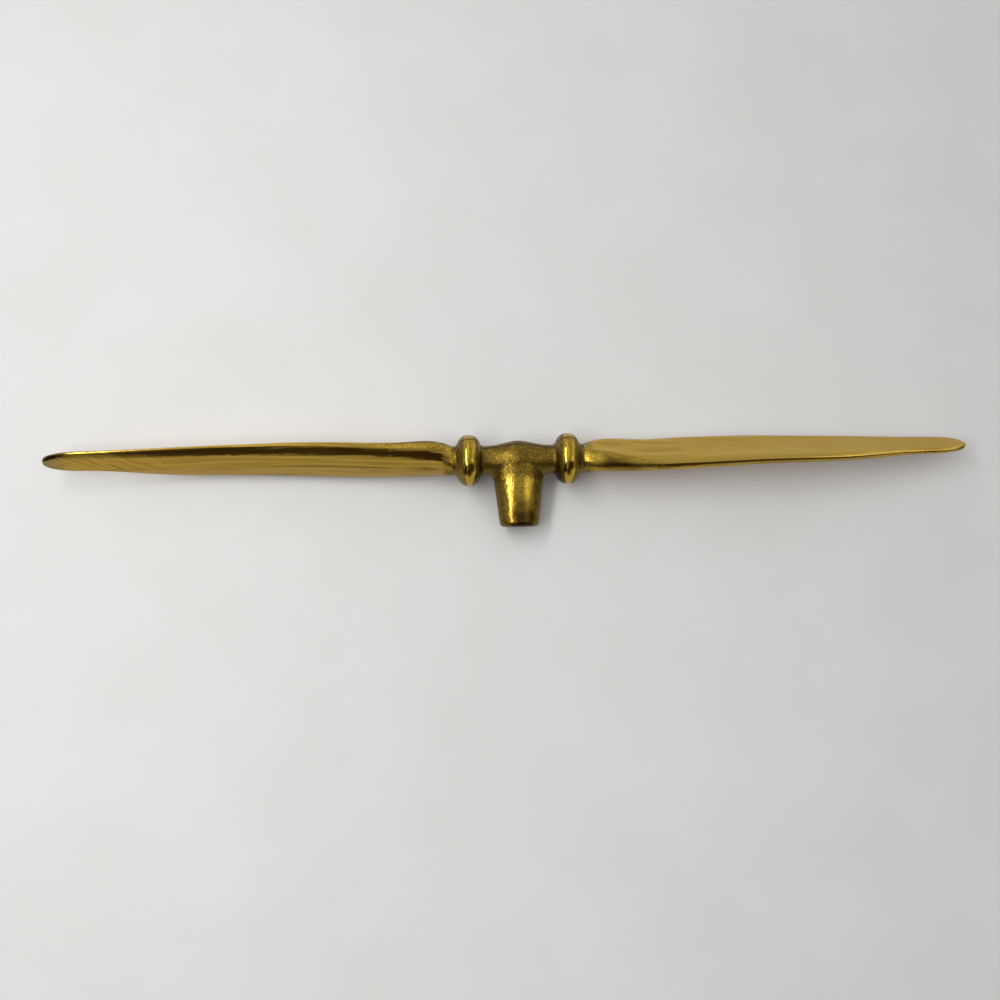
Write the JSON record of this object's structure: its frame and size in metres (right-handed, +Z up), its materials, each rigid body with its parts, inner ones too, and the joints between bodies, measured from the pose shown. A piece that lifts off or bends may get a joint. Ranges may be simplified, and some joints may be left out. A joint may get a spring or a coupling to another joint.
{
  "type": "letter opener",
  "caption": "Brass letter opener in the shape of an aeroplane propeller, with twisted blades, bead collars, a spindle hub and a tapered oval nose. It lies on a desk.",
  "frame": {"origin": "on the desk, straight below the point where the blade line and the nose line cross", "axes": "+X along the right blade, -Y toward the nose, +Z up from the desk"},
  "size_m": [0.2288, 0.0231, 0.0127],
  "materials": {
    "cast_brass": "as-cast and lightly buffed, grainy, with brown tarnish in the hollows",
    "polished_brass": "ground and polished lengthwise, with fine streaks"
  },
  "bodies": {
    "root": {"hub_barrel": "cast_brass", "nose_boss": "cast_brass", "left_blade": "polished_brass", "right_blade": "polished_brass", "left_collar": "cast_brass", "right_collar": "cast_brass"}
  },
  "joints": []
}
